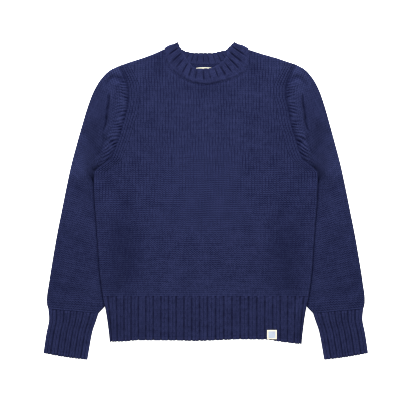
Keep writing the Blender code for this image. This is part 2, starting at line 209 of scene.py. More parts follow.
BODY_FOLDS = (
    # height, half width, points of its crest
    (-2.0, 38, ((-182, 0), (-176, -90), (-172, -190))),
    (-2.0, 38, ((178, 0), (170, -90), (168, -190))),
    (1.0, 14, ((-75, 87), (30, 85), (103, 70))),
    (0.9, 15, ((-75, 22), (-45, -70), (-12, -171))),
    (0.8, 13, ((19, -10), (19, -115))),
    (1.1, 17, ((-147, 240), (-133, 224))),
    (-1.3, 13, ((-106, 290), (-98, 262))),
    (-1.3, 13, ((106, 288), (97, 262))),
    (-0.9, 11, ((-50, 238), (0, 226), (50, 236))),
    (-0.4, 22, ((-60, -180), (-10, -150), (40, -176))),
    (0.8, 20, ((80, -20), (110, -90))),
    (-0.3, 18, ((120, 190), (90, 120), (110, 60))),
    (-0.3, 18, ((-112, 180), (-96, 120), (-118, 50))),
)
# Painted light and shade on the front: soft places painted lighter or darker, where more or less light falls
# on the cloth
BODY_SHADES = (
    # x, y, reach across, reach along, how much lighter
    (0, 60, 90, 170, 0.09), (-196, -40, 26, 40, 0.12), (172, -40, 26, 36, 0.1),
    (-192, -185, 50, 26, -0.1), (185, -180, 60, 30, -0.1), (160, 90, 40, 60, -0.06),
    (-190, 150, 24, 50, -0.05), (-214, 38, 28, 40, -0.17), (214, 36, 24, 44, -0.15),
    (-160, 286, 40, 16, 0.14), (160, 286, 40, 16, 0.14), (0, 36, 240, 62, 0.1),
    (-215, -190, 40, 26, -0.06), (190, -190, 40, 26, -0.06), (0, -195, 300, 20, -0.08),
    (0, -130, 260, 60, -0.03),
)
TINY = 1e-6
FAR = 99.0
FOLD_END_SHARE = 0.15
# Over how many half courses the V of the stitches fades out at the ends of a wale
STAGGER_FADE = 3
# How much of the depth between wales is left where the rows show most
CLOSED_DEPTH = 0.3
# The place across a wale where a stitch's leg stands highest
LEG_MIDDLE = 0.25
# The stitches wander less within these distances of the sides and the hem seam
STEADY_SIDE = 30
STEADY_HEM = 9
# The sewing flattens the stitches beside a seam to this share of their depth
SEWN_REACH = 3
SEWN_DEPTH = 0.25
# On the underside the stitches are pressed to this share of their depth
PRESSED = 0.7
TONE_PATCHES = 0.14
# A seam's dip darkens the cloth less below the chest, where it lies flatter
SEAM_SHADE_FROM = 140
SEAM_SHADE_RISE = 60
SEAM_SHADE_LEAST = 0.3


def smooth(at, table, column=1):
    """A column of a table at any place along its first one, on a smooth curve through its rows."""
    rows = np.array(sorted(row[:1] + row[column:column + 1] for row in table), dtype=float)
    return smooth_through(at, rows[:, 0], rows[:, 1:])[..., 0]


def smooth_through(at, knots, values):
    """Values at any place along the knots, on a smooth curve through them."""
    at = np.clip(np.asarray(at, dtype=float), knots[0], knots[-1])
    slopes = np.gradient(values, knots, axis=0)
    start = np.clip(np.searchsorted(knots, at, side="right") - 1, 0, len(knots) - 2)
    width = (knots[start + 1] - knots[start])[..., None]
    share = (at - knots[start])[..., None] / width
    near = (1 + 2 * share) * (1 - share) ** 2 * values[start]
    near = near + share ** 2 * (3 - 2 * share) * values[start + 1]
    bend = share * (1 - share) * ((1 - share) * slopes[start] - share * slopes[start + 1])
    return near + width * bend


def lengths_along(points):
    """The distance along a line at each of its points."""
    return np.concatenate(([0.0], np.cumsum(np.linalg.norm(np.diff(points, axis=0), axis=1))))


def smooth_line(points, count):
    """A smooth line through plan points, at even steps of its length."""
    points = np.asarray(points, dtype=float)
    knots = lengths_along(points)
    fine = smooth_through(np.linspace(0, knots[-1], 12 * len(points)), knots, points)
    return resample(fine, np.linspace(0, 1, count))


def resample(points, shares):
    """Points at the given shares of a line's length."""
    lengths = lengths_along(points)
    wanted = np.asarray(shares) * lengths[-1]
    return np.stack([np.interp(wanted, lengths, points[:, axis]) for axis in (0, 1)], axis=-1)


def nearest(x, y, line):
    """The distance from each plan point to a line, and the share of the line where it is nearest."""
    best, place = np.full(x.shape, 1e9), np.zeros(x.shape)
    for index, (start, end) in enumerate(zip(line[:-1], line[1:])):
        step = end - start
        share = np.clip(((x - start[0]) * step[0] + (y - start[1]) * step[1]) / (step @ step), 0, 1)
        distance = np.hypot(x - start[0] - share * step[0], y - start[1] - share * step[1])
        closer = distance < best
        best = np.where(closer, distance, best)
        place = np.where(closer, (index + share) / (len(line) - 1), place)
    return best, place


def bell(distance, width):
    """What dies out softly with distance, from 1."""
    return np.exp(-(distance / width) ** 2)


def folds_at(x, y, folds):
    """The height that soft ridges and troughs add, each dying out towards its ends."""
    total = np.zeros(x.shape)
    for height, half_width, crest in folds:
        line = smooth_line(crest, 9) if len(crest) > 2 else np.array(crest, float)
        distance, place = nearest(x, y, line)
        fading = (4 * place * (1 - place) + FOLD_END_SHARE) ** 0.5
        total += height * fading * bell(distance, half_width)
    return total


def pinched(shape):
    """How much light is left in a crease of that depth, from 1 where there is none."""
    return 1 - CREASE_SHADE * np.clip(-shape / CREASE_FULL, 0, 1)


def body_lift(x, y):
    """How high the body's underside is: on the table, or lifted where a sleeve is under it."""
    reach = np.maximum(smooth(y, TUCK), TUCK_LEAST)
    beyond = smooth(y, BODY_HALF) - np.abs(x) - reach
    lift = np.interp(y, *np.array(LIFT).T)
    return BODY_OVER_SLEEVE * lift * smooth(np.clip(beyond, 0, SLOPE[-1][0]), SLOPE)


def rounded(distance):
    """How far a folded edge has risen at a distance in from it, from 0 to 1, as a half circle does."""
    return np.sqrt(1 - (1 - np.clip(distance / MIDDLE, 0, 1)) ** 2)


def seam_dip(distance):
    """How far the cloth dips beside a seam."""
    share = np.clip(1 - distance / SEAM_REACH, 0, 1)
    return SEAM_DEPTH * share ** 2 * (3 - 2 * share)


def seam_shade(y):
    """How much a seam's dip darkens the cloth at a height."""
    return np.clip((y - SEAM_SHADE_FROM) / SEAM_SHADE_RISE, SEAM_SHADE_LEAST, 1)


def sewn_depth(distance):
    """The share of their depth that the stitches keep at a distance from a seam."""
    return np.clip(distance / SEWN_REACH, SEWN_DEPTH, 1)


def staggered(grid, place, downwards=False):
    """A grid of half courses, its columns shifted along themselves so that its rows run in V's."""
    count = len(grid)
    row = np.arange(count)[:, None]
    ends = np.clip(np.minimum(row, count - 1 - row) / STAGGER_FADE, 0, 1)
    wanted = row + (-2 if downwards else 2) * STITCH_RISE * place * ends
    wanted = np.clip(wanted, 0, count - 1)
    before = np.minimum(wanted.astype(int), count - 2)
    share = (wanted - before)[..., None]
    column = np.arange(grid.shape[1])[None, :]
    return grid[before, column] * (1 - share) + grid[before + 1, column] * share


def stitch_place(wales):
    """Where along its wale a stitch's leg is: high at the wale's edges, low in its middle."""
    return np.abs(np.mod(wales, 1) - 0.5) * 2 - 0.5


def stitch_height(wales, count, opened):
    """How high the yarn stands in each point of a plain knit grid, from 0 in the hollows to 1.

    opened is how far the knit is pulled sideways: 0 where its rows show most, 1 where its wales do."""
    across = np.interp(np.mod(wales, 1), *np.array(LEG_PROFILE).T)
    across = 1 - (1 - across) * (CLOSED_DEPTH + (1 - CLOSED_DEPTH) * opened)
    hollow = COURSE_HOLLOW * (1 - 0.5 * opened) * (np.arange(count) % 2)[:, None]
    return across * (1 - hollow)


def stitch_tone(height, contrast):
    """The painted tone of the yarn from its height: its hollows are painted darker, as painted shade, and
    the less the contrast, the less they darken.
    """
    return 1 - contrast * (1 - height)


def patches(x, y):
    """Soft patches a few stitches across, from -1 to 1, where the knit lies a little differently.

    The divisors are the lengths of the waves in millimetres, over two pi."""
    first = np.sin(x / 8.3 + 1.9 * np.sin(y / 31)) * np.sin(y / 7.1 + 1.7 * np.sin(x / 27))
    second = np.sin(x / 19 - y / 23 + 1.2 * np.sin(x / 47)) * np.sin(y / 15 + x / 41)
    return 0.5 * first + 0.5 * second


def painted_light_and_shade(x, y, places):
    """How much lighter or darker the cloth is painted in soft places: painted light and shade, standing in
    for how the light falls on the laid cloth.
    """
    return 1 + sum(change * np.exp(-((x - at_x) / across) ** 2 - ((y - at_y) / along) ** 2)
                   for at_x, at_y, across, along, change in places)


def uneven_tension(x, y):
    """The small sideways and lengthways wandering of the stitches, in millimetres, as laid knit has."""
    sideways = 0.9 * np.sin(y / 23 + 1.3 * np.sin(x / 61)) + 0.5 * np.sin(y / 9.7 + x / 31)
    lengthways = 0.9 * np.sin(x / 27 + 1.1 * np.sin(y / 53)) + 0.5 * np.sin(x / 11.3 - y / 37)
    return sideways, lengthways


def knit_mesh(name, layers, material):
    """One mesh from grids of points in millimetres, joined where points meet.

    Each layer is its points, its wale and course numbers, its yarn tones with their painted shade, and if it
    is turned over."""
    points, stitches, painted_tones, quads = [], [], [], []
    start = 0
    # Each layer's height is the yarn's tone, painted darker in hollows and creases as painted shade
    for grid, wales, courses, height, turned in layers:
        count, width = grid.shape[:2]
        points.append(grid.reshape(-1, 3))
        stitches.append(np.stack((wales, courses), axis=-1).reshape(-1, 2))
        painted_tones.append(height.reshape(-1))
        index = start + np.arange(count * width).reshape(count, width)
        corners = [index[:-1, :-1], index[:-1, 1:], index[1:, 1:], index[1:, :-1]]
        order = corners[::-1] if turned else corners
        quads.append(np.stack(order, axis=-1).reshape(-1, 4))
        start += count * width
    points, stitches, painted_tones = np.concatenate(points), np.concatenate(stitches), np.concatenate(painted_tones)
    quads = np.concatenate(quads)
    first, same = np.unique(np.round(points, 3), axis=0, return_index=True, return_inverse=True)[1:]
    joined = same.reshape(-1)[quads]
    repeats = joined == np.roll(joined, -1, axis=1)
    crossed = (joined[:, 0] == joined[:, 2]) | (joined[:, 1] == joined[:, 3])
    whole = ~repeats.any(axis=1) & ~crossed
    faces, sources = joined[whole].tolist(), quads[whole].reshape(-1).tolist()
    for corner in range(4):
        others = [other for other in range(4) if other != corner]
        pick = repeats[:, corner] & (repeats.sum(axis=1) == 1)
        faces += joined[pick][:, others].tolist()
        sources += quads[pick][:, others].reshape(-1).tolist()
    mesh = bpy.data.meshes.new(name)
    mesh.from_pydata((points[first] * MM).tolist(), [], faces)
    mesh.uv_layers.new(name="stitches").data.foreach_set("uv", stitches[sources].reshape(-1))
    mesh.attributes.new("yarn_tone_with_painted_shade", "FLOAT", "POINT").data.foreach_set("value", painted_tones[first])
    mesh.materials.append(material)
    mesh.shade_smooth()
    return add_object(name, mesh)


def knitted_wool(name, top, hollow):
    """Thick woollen yarn, spun in three plies and plain dyed, as it looks when knitted.

    It is matt with a soft sheen of loose fibres. Its colour runs from the hollow colour to the top one by
    the tone on the mesh, so the hollows between stitches are painted darker, as painted shade."""
    material, tree, shader = new_material(name)
    stitch = add_node(tree, "UVMap", {}, uv_map="stitches").outputs["UV"]
    place = add_node(tree, "TexCoord", {}).outputs["Object"]
    # Plies cross the yarn about every 1.2 mm of its length
    twist = {"Vector": stitch, "Rotation": (0, 0, 0.9), "Scale": (4.6, 3.4, 1)}
    twist = add_node(tree, "Mapping", twist).outputs[0]
    plies = {"Vector": twist, "Scale": 0.5, "Distortion": 0.6, "Detail": 1.0}
    plies = add_node(tree, "TexWave", plies, wave_profile="SIN").outputs["Fac"]
    # Loose fibres, drawn as flecks about 1 mm long, coarser than the real ones so that they show
    fibres = add_node(tree, "Mapping", {"Vector": place, "Scale": (900, 1600, 1200)}).outputs[0]
    fibres = {"Vector": fibres, "Scale": 1.0, "Detail": 3.0, "Roughness": 0.6}
    fibres = add_node(tree, "TexNoise", fibres).outputs["Fac"]
    # Each leg of each stitch takes the dye and the light a little differently
    leg = add_node(tree, "VectorMath", {0: stitch, 1: (2, 1, 1)}, operation="MULTIPLY").outputs[0]
    leg = add_node(tree, "VectorMath", {0: leg}, operation="FLOOR").outputs[0]
    uneven = add_node(tree, "TexWhiteNoise", {"Vector": leg}, noise_dimensions="2D")
    drift = add_node(tree, "TexNoise", {"Vector": place, "Scale": 48.0, "Detail": 2.0})
    # The yarn runs thicker and thinner along each course, for about eight stitches at a time
    streaks = add_node(tree, "Mapping", {"Vector": stitch, "Scale": (0.13, 0.8, 1)}).outputs[0]
    streaks = add_node(tree, "TexNoise", {"Vector": streaks, "Scale": 1.0, "Detail": 1.0})
    # The yarn's tone from the mesh, which holds the painted shade of hollows and creases and painted light
    # and shade in soft places
    height = add_node(tree, "Attribute", {}, attribute_name="yarn_tone_with_painted_shade").outputs["Fac"]
    total = BARE_TONE
    weights = (
        (uneven.outputs["Value"], 0.34), (plies, 0.16), (fibres, 0.16), (drift.outputs["Fac"], 0.34),
        (streaks.outputs["Fac"], 0.5),
    )
    for source, weight in weights:
        total = {0: source, 1: weight, 2: total}
        total = add_node(tree, "Math", total, operation="MULTIPLY_ADD").outputs[0]
    total = add_node(tree, "Math", {0: total, 1: height}, operation="MULTIPLY").outputs[0]
    tone = {"Factor": total, "A": hex_colour(hollow), "B": hex_colour(top)}
    tone = add_node(tree, "Mix", tone, data_type="RGBA")
    rough = add_node(tree, "Math", {0: plies, 1: 0.5}, operation="MULTIPLY").outputs[0]
    rough = add_node(tree, "Math", {0: rough, 1: fibres}, operation="ADD").outputs[0]
    bump = add_node(tree, "Bump", {"Height": rough, "Strength": 0.7, "Distance": 0.35 * MM})
    set_inputs(tree, shader, {
        "Base Color": tone.outputs["Result"], "Normal": bump.outputs[0], "Roughness": 0.95,
        "Specular IOR Level": 0.05, "Sheen Weight": 0.08, "Sheen Roughness": 0.6,
        "Sheen Tint": hex_colour("7a84c8"),
    })
    return material


wool_body = knitted_wool("navy_wool_plain_knit", "32385f", "050824")

armhole_lines = {
    -1: smooth_line([row[:2] for row in ARMHOLE], 70),
    1: smooth_line([row[2:] for row in ARMHOLE], 70),
}
neck_lines = {
    "front_seam": smooth_line([row[0:2] for row in NECK], 90),
    "back_seam": smooth_line([row[2:4] for row in NECK], 90),
    "front_edge": smooth_line([row[4:6] for row in NECK], 90),
    "back_edge": smooth_line([row[6:8] for row in NECK], 90),
}


def panel_plan(neckline):
    """The plan of a body panel's stitches, its wale numbers, and which points lie on its top line."""
    height = np.arange(HEM_SEAM, NECK[0][1] + COURSE, COURSE / 2)[:, None]
    half = smooth(np.minimum(height, ARMPIT), BODY_HALF)
    pitch = 2 * half / BODY_WALES
    edges = []
    for side in (-1, 1):
        line = armhole_lines[side][::-1]
        seam = np.interp(height, line[:, 1], line[:, 0])
        edges.append(np.where(height < ARMPIT, side * half, seam))
    left, right = edges
    band = np.arange(0, BAND_WALES + QUARTER / 2, QUARTER)[None, :]
    inner = np.arange(BAND_WALES, BODY_WALES - BAND_WALES + QUARTER / 2, QUARTER)[None, :]
    straight = (inner - BODY_WALES / 2) * pitch
    clipped = np.clip(straight, left + BAND_WALES * pitch, right - BAND_WALES * pitch)
    x = np.hstack((left + band * pitch, clipped, right - band[:, ::-1] * pitch))
    wales = np.hstack((
        band + 0 * height, clipped / pitch + BODY_WALES / 2, BODY_WALES - band[:, ::-1] + 0 * height
    ))
    in_band = np.zeros((len(height), band.shape[1]), dtype=bool)
    on_line = np.hstack((in_band, np.abs(clipped - straight) > TINY, in_band))
    place = np.where(on_line, 0.0, stitch_place(wales))
    # The two columns where each band of four stitches meets the panel's own
    size = band.shape[1]
    border = [size - 1, size, -size - 1, -size]
    place[:, border] = 0.0
    sideways, lengthways = uneven_tension(x, height)
    inward = np.clip(np.minimum(x - left, right - x) / STEADY_SIDE, 0, 1)
    inward = inward * np.clip((height - HEM_SEAM) / STEADY_HEM, 0, 1)
    grid = staggered(np.stack((x + sideways * inward, height + lengthways * inward), axis=-1), place)
    top = np.vstack((SHOULDERS[-1][:-1], neckline, SHOULDERS[1][1:]))
    limit = np.interp(grid[..., 0], top[:, 0], top[:, 1])
    at_top = grid[..., 1] >= limit
    grid[..., 1] = np.minimum(grid[..., 1], limit)
    stitches = np.where(on_line, LEG_MIDDLE, wales)
    stitches[:, border] = LEG_MIDDLE
    return grid, wales, stitches, at_top


def panel_layer(neckline, upward):
    """A body panel's outer face as one layer of stitches, facing up for the front, down for the back."""
    grid, wales, stitches, at_top = panel_plan(neckline)
    x, y = grid[..., 0], grid[..., 1]
    side = np.where(y < ARMPIT, smooth(y, BODY_HALF) - np.abs(x), FAR)
    over = [nearest(x, y, np.array(line, dtype=float))[0] for line in SHOULDERS.values()]
    edge = rounded(np.minimum(side, np.minimum(over[0], over[1])))
    neck_seam, along_neck = nearest(x, y, neckline[::3])
    armhole = np.minimum(*[nearest(x, y, line[::2])[0] for line in armhole_lines.values()])
    seam = np.minimum(neck_seam, armhole)
    crowded = bell(armhole, CROWDED_REACH)
    dip = np.maximum(seam_dip(seam), RIB_SEAM_SHARE * seam_dip(y - HEM_SEAM))
    opened = np.clip(smooth(y, OPENED) + 0.4 * patches(x, y) + 0.6 * crowded, 0, 1)
    height = stitch_height(stitches, len(grid), opened)
    height = np.where(at_top, 1.0, height)
    picked_up = 0.5 + 0.5 * np.sin(2 * np.pi * PICK_UPS * along_neck + 3 * np.sin(11 * along_neck))
    height = height * (1 - 0.6 * picked_up * np.clip(1 - neck_seam / PICK_UP_REACH, 0, 1))
    drop = STITCH_DEPTH * (1 - height) * sewn_depth(np.minimum(seam, y - HEM_SEAM))
    folds = folds_at(x, y, BODY_FOLDS) if upward else 0 * x
    if upward:
        rise = MIDDLE + folds - dip - drop
        z = MIDDLE + rise * edge
    else:
        z = MIDDLE - (MIDDLE - dip - PRESSED * drop) * edge
    z = z + body_lift(x, y)
    courses = np.arange(len(grid))[:, None] / 2 + 0 * x
    sewn = seam_shade(y) * np.clip(1.3 - np.abs(x) / 40, 0.1, 1) if upward else 0.5
    sewn = np.where(np.abs(x) > 120, seam_shade(y), sewn)
    contrast = smooth(y, OPENED, 2) + TONE_PATCHES * patches(y, x) + 0.16 * crowded
    tone = OPEN_TONE ** np.clip((y - 20) / 100, 0, 1) * stitch_tone(height, contrast)
    tone = tone * pinched(folds - dip * sewn)
    # The sides are painted darker, a painted shade, and soft places are painted lighter or darker, as
    # painted light and shade
    tone = tone * (1 - SIDE_SHADE * bell(side, 1.3)) * painted_light_and_shade(x, y, BODY_SHADES)
    return np.stack((x, y, z), axis=-1), wales, courses, tone, not upward


front = knit_mesh("front_panel", [panel_layer(neck_lines["front_seam"], True)], wool_body)
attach(front, "root")
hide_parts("front")

# The back
# The same panel with a higher neckline, lying face down on the table. Inside the neck opening its
# wrong side shows, with the purl bumps of plain knit.
INSIDE_TOP = WALL
INSIDE_LOW = 232
INSIDE_HIGH = 290
INSIDE_HALF = 84
INSIDE_WALE = 5.8
PURL_DEPTH = 0.8

back = knit_mesh("back_panel", [panel_layer(neck_lines["back_seam"], False)], wool_body)
inside_y = np.arange(INSIDE_LOW, INSIDE_HIGH, COURSE / 2)[:, None]
inside_x = np.arange(-INSIDE_HALF, INSIDE_HALF + 1, INSIDE_WALE * QUARTER)[None, :]
inside_limit = np.interp(inside_x, neck_lines["back_seam"][:, 0], neck_lines["back_seam"][:, 1])
inside_y = np.minimum(inside_y, inside_limit)
inside_x = inside_x + 0 * inside_y
bump = np.cos(np.pi * np.arange(len(inside_y)))[:, None]
bump = 0.5 + 0.5 * bump * np.cos(2 * np.pi * inside_x / INSIDE_WALE)
inside_grid = np.stack((inside_x, inside_y, INSIDE_TOP - PURL_DEPTH * (1 - bump)), axis=-1)
inside_courses = np.arange(len(inside_y))[:, None] / 2 + 0 * inside_x
# The wrong side is painted dark, darkest between the purl bumps: painted shade inside the neck opening
inside_layer = (inside_grid, inside_x / INSIDE_WALE, inside_courses, 0.15 + 0.4 * bump, False)
back_inside = knit_mesh("back_panel_inside", [inside_layer], wool_body)
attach(back, "root")
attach(back_inside, "root")
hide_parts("back")

# The sleeves
# Tubes of plain knit, knitted from the cuff up and laid flat, with their shaped heads sewn into the
# armholes. The cloth bunches in a ridge beside each armhole, and creases where the arm bends.
SLEEVE_FULLER = {-1: 0.4, 1: 1.2}
SLEEVE_RINGS = (
    # outer x, outer y, inner y, share of the armhole's curve
    (-182, 283, 60, 1.0), (-202, 273, 58, 0.8), (-220, 255, 55, 0.6), (-235, 230, 52, 0.4),
    (-247, 199, 47, 0.22), (-258, 163, 41, 0.1), (-270, 121, 34, 0.03), (-282, 76, 12, 0.0),
    (-292, 30, -16, 0.0), (-302, -20, -50, 0.0), (-312, -70, -100, 0.0), (-321, -122, -150, 0.0),
    (-329, -172, -190, 0.0), (-334, -208, -215, 0.0), (-333.5, -220, -229, 0.0),
    (-331, -228, -237, 0.0),
)
SLEEVE_UNDER = (
    # height, how far the sleeve's inner edge runs in beyond the reach at that height
    (-237, 2.2), (-229, 3.2), (-220, 2.2), (-200, 0), (-150, 2), (0, 4), (20, 4), (34, 2.4), (48, 4),
    (60, 4),
)
SLEEVE_COURSE = 4.7
SLEEVE_WALE = 5.57
SLEEVE_WALES = 48
SLEEVE_STEADY = 12
ENDED = 0.35
SLEEVE_TONE = 0.91
# Painted light and shade on the sleeves: soft places painted lighter or darker, where more or less light
# falls on the cloth
SLEEVE_SHADES = (
    # x, y, reach across, reach along, how much lighter
    (-262, 118, 30, 48, 0.28), (-226, 120, 16, 26, 0.1), (-228, 45, 16, 26, -0.2), (-300, 60, 22, 40, 0.12),
    (-318, -20, 30, 70, 0.06), (-194, 277, 24, 20, 0.45), (-290, -140, 60, 80, -0.09),
    (-266, 76, 34, 26, 0.3), (-226, 52, 14, 26, -0.1), (-198, 215, 9, 40, 0.14),
    (-235, 86, 40, 30, 0.1), (-247, 56, 26, 34, 0.12),
)
SLEEVE_CONTRAST = 0.71
UNDER_SHADE = 0.55
UNDER_SHADE_REACH = 2.6
UNDERARM_FADE = 2
SLEEVE_RIDGES = (
    # height, half width, points of its crest
    (6.0, 12, ((-187, 240), (-194, 216), (-197, 186), (-199, 160), (-205, 135))),
    (3.6, 13, ((-203, 140), (-207, 127), (-214, 104))),
    (2.6, 17, ((-217, 236), (-231, 200), (-238, 168))),
    (3.0, 14, ((-254, 122), (-249, 92), (-256, 55))),
)
SLEEVE_FOLD_FADE = 14
CALM_CAP = (-229, 195, 34)
GATHER = {"reach": 27, "tops": (264, 244), "lows": (64, 110), "contrast": 1.0}
SLEEVE_CREASES = (
    # height, half width, points of its line
    (-2.2, 4.5, ((-212, 242), (-197, 259), (-166, 247))),
    (-4.6, 2.3, ((-203, 222), (-204, 207), (-206, 191))),
    (-3.4, 2.2, ((-206, 197), (-208, 182), (-209, 168))),
    (-4.4, 2.3, ((-209, 176), (-210, 162), (-215, 146))),
    (-1.6, 3.0, ((-214, 140), (-218, 112), (-225, 96))),
    (-1.0, 7, ((-253, 146), (-240, 122), (-227, 101))),
    (-3.2, 1.6, ((-198, 89), (-214, 78), (-231, 65))),
    (-1.0, 10, ((-285, 40), (-262, 22), (-244, 8))),
    (0.9, 12, ((-296, -20), (-270, -44), (-246, -50))),
    (-1.0, 12, ((-306, -60), (-280, -84), (-252, -92))),
    (0.8, 13, ((-306, -110), (-280, -150))),
    (-1.1, 10, ((-325, -160), (-300, -186), (-270, -190))),
    (1.0, 9, ((-322, -205), (-290, -212), (-240, -218))),
)


def sleeve_plan(side):
    """The plan of a sleeve's stitches on its left side's places, with distances from both edges."""
    rings = np.array(SLEEVE_RINGS, dtype=float)
    knots = lengths_along(rings[:, :2])
    rows = int(round(2 * knots[-1] / SLEEVE_COURSE)) + 1
    lines = smooth_through(np.linspace(0, knots[-1], rows), knots, rings)
    armhole = armhole_lines[side] * (-side, 1)
    shares = np.linspace(0, 1, len(armhole))[:, None]
    bend = armhole - (armhole[0] + shares * (armhole[-1] - armhole[0]))
    lead = armhole[0] - rings[0, :2]
    steps_across = np.arange(0, SLEEVE_WALES * SLEEVE_WALE, SLEEVE_WALE * QUARTER)
    grid = np.zeros((rows, len(steps_across), 4))
    for row, (outer_x, outer_y, inner_y, curve) in enumerate(lines):
        curve = min(max(curve, 0.0), 1.0)
        outer_x -= SLEEVE_FULLER[side] * min(1.0, 4 * row / rows, 8 * (1 - (row + 1) / rows))
        inner_x = smooth(inner_y, TUCK) - smooth(inner_y, BODY_HALF)
        inner_x = inner_x + np.interp(inner_y, *np.array(SLEEVE_UNDER).T)
        start = np.array((outer_x, outer_y)) + curve * lead
        end = np.array((inner_x, inner_y)) * (1 - curve) + armhole[-1] * curve
        line = start + shares * (end - start) + curve ** (1 + UNDERARM_FADE * shares) * bend
        length = np.linalg.norm(np.diff(line, axis=0), axis=1).sum()
        kept = np.minimum(steps_across, length)
        grid[row, :, :2] = resample(line, kept / length)
        grid[row, :, 2] = kept
        grid[row, :, 3] = length - kept
    return grid, steps_across / SLEEVE_WALE


def gathers(x, y):
    """The short uneven tucks across the sleeve's head, where its fullness is eased into the armhole.

    They come about every 7 mm, and lean less the higher they are."""
    lean = np.interp(y, (90, 150, 240), (0.62, 0.22, -0.12))
    turns = (y - lean * (x + 190)) / 7.1 + 0.28 * np.sin(y / 17 + x / 9) + 0.2 * np.sin(y / 6.3 - x / 14)
    depth = 0.95 + 0.5 * np.sin(y / 10.5 + 1.3) * np.sin(x / 5.5 + y / 19) + 0.2 * np.sin(y / 4.1 + x / 3.3)
    return np.clip(1.05 - depth * (0.5 - 0.5 * np.sin(2 * np.pi * turns)) ** 1.5, 0, 1)


def sleeve_layers(side):
    """A sleeve's upper and lower faces, as layers of stitches."""
    plan, wales = sleeve_plan(side)
    inside = plan[..., 3] > TINY
    wales = wales[None, :] + 0 * plan[..., 0]
    plan = staggered(plan, np.where(inside, stitch_place(wales), 0.0), downwards=True)
    x, y, from_outer, from_inner = np.moveaxis(plan, -1, 0)
    edge = rounded(np.where(from_inner < ENDED, 0.0, np.minimum(from_outer, from_inner)))
    row = np.arange(len(plan))[:, None]
    from_armhole = nearest(x, y, (armhole_lines[side] * (-side, 1))[::2])[0]
    from_cuff = (len(plan) - 1 - row) * SLEEVE_COURSE / 2 + 0 * x
    seam = np.where(row == 0, 0.0, from_armhole)
    sewn_edge = np.minimum(seam, from_cuff)
    free = np.clip(np.minimum(np.minimum(from_outer, from_inner), sewn_edge) / SLEEVE_STEADY, 0, 1)
    sideways, lengthways = uneven_tension(x, y)
    x, y = x + sideways * free, y + lengthways * free
    dip = np.maximum(seam_dip(seam), RIB_SEAM_SHARE * seam_dip(from_cuff))
    gathered = np.clip(1.3 * (1 - from_armhole / GATHER["reach"]), 0, 1)
    gathered = gathered * np.interp(y, GATHER["lows"] + GATHER["tops"][::-1], (0, 1, 1, 0))
    opened = np.clip(0.12 + 0.3 * patches(x, y), 0, 1)
    height = stitch_height(wales, len(plan), opened)
    height = height + (gathers(x, y) - height) * 0.9 * gathered
    calm_x, calm_y, calm_reach = CALM_CAP
    calm = np.exp(-((x - calm_x) ** 2 + (y - calm_y) ** 2) / calm_reach ** 2)
    height = np.clip(height, 0, 1) * (1 - 0.7 * calm) + 0.48 * 0.7 * calm
    drop = STITCH_DEPTH * (1 - height) * sewn_depth(sewn_edge)
    ridge = np.zeros(x.shape)
    for tall, half_width, crest in SLEEVE_RIDGES:
        distance = nearest(x, y, smooth_line(crest, 16))[0]
        ridge = np.maximum(ridge, tall * bell(distance, half_width))
    body_edge = np.clip((-smooth(y, BODY_HALF) - x) / SLEEVE_FOLD_FADE, 0, 1)
    body_edge = np.maximum(body_edge, np.clip((y - ARMPIT) / 20, 0, 1))
    shape = (ridge + folds_at(x, y, SLEEVE_CREASES)) * body_edge * np.clip(sewn_edge / 8, 0, 1)
    upper = MIDDLE + (MIDDLE + shape - dip - drop) * edge
    lower = MIDDLE - (MIDDLE - dip - PRESSED * drop) * edge
    beside = -smooth(y, BODY_HALF) - x
    under = UNDER_SHADE * bell(beside - 1, UNDER_SHADE_REACH)
    under = under * np.clip((ARMPIT - y) / 15, 0, 1)
    contrast = SLEEVE_CONTRAST + TONE_PATCHES * patches(y, x)
    tone = stitch_tone(height, contrast + (GATHER["contrast"] - contrast) * gathered)
    # Soft places are painted lighter or darker, as painted light and shade
    tone = SLEEVE_TONE * painted_light_and_shade(x, y, SLEEVE_SHADES) * tone
    tone = tone * pinched(shape - ridge * body_edge - dip * seam_shade(y))
    # The gathers are painted lighter, a painted highlight, and painted darker close to the seam, a painted
    # shade
    tone = tone * (1 - under) * (1 + 0.3 * gathered - 0.66 * gathered * bell(from_armhole, 10))
    tone = tone * (1 - 0.3 * np.clip(1 - from_cuff / 3, 0, 1))
    x = x * -side
    courses = row / 2 + 0 * x
    turned = side < 0
    return [
        (np.stack((x, y, upper), axis=-1), wales, courses, tone, turned),
        (np.stack((x, y, lower), axis=-1), wales, courses, tone, not turned),
    ]


for side, word in ((-1, "left"), (1, "right")):
    sleeve = knit_mesh(f"sleeve_{word}_knit", sleeve_layers(side), wool_body)
    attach(sleeve, "root")
    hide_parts(f"sleeve_{word}")

# The hem ribs
# Two bands of rib, two stitches up and one down, which draw the hem in. They are knitted first, and
# their lower edge is a firm rounded one.
HEM_LINE = (
    # x, y
    (-201, -296.5), (-176, -296), (-150, -293.5), (-60, -294), (-26, -295), (0, -294.5), (70, -291.5),
    (135, -292), (165, -297), (202, -301),
)
HEM_RIBS = 26
HEM_CROWDING = (0.0085, 0.01, -0.003, 0.002)
HEM_HALF = 209
HEM_SEAM_HALF = 216
HEM_HEIGHT = 94
HEM_UPRIGHT = 16
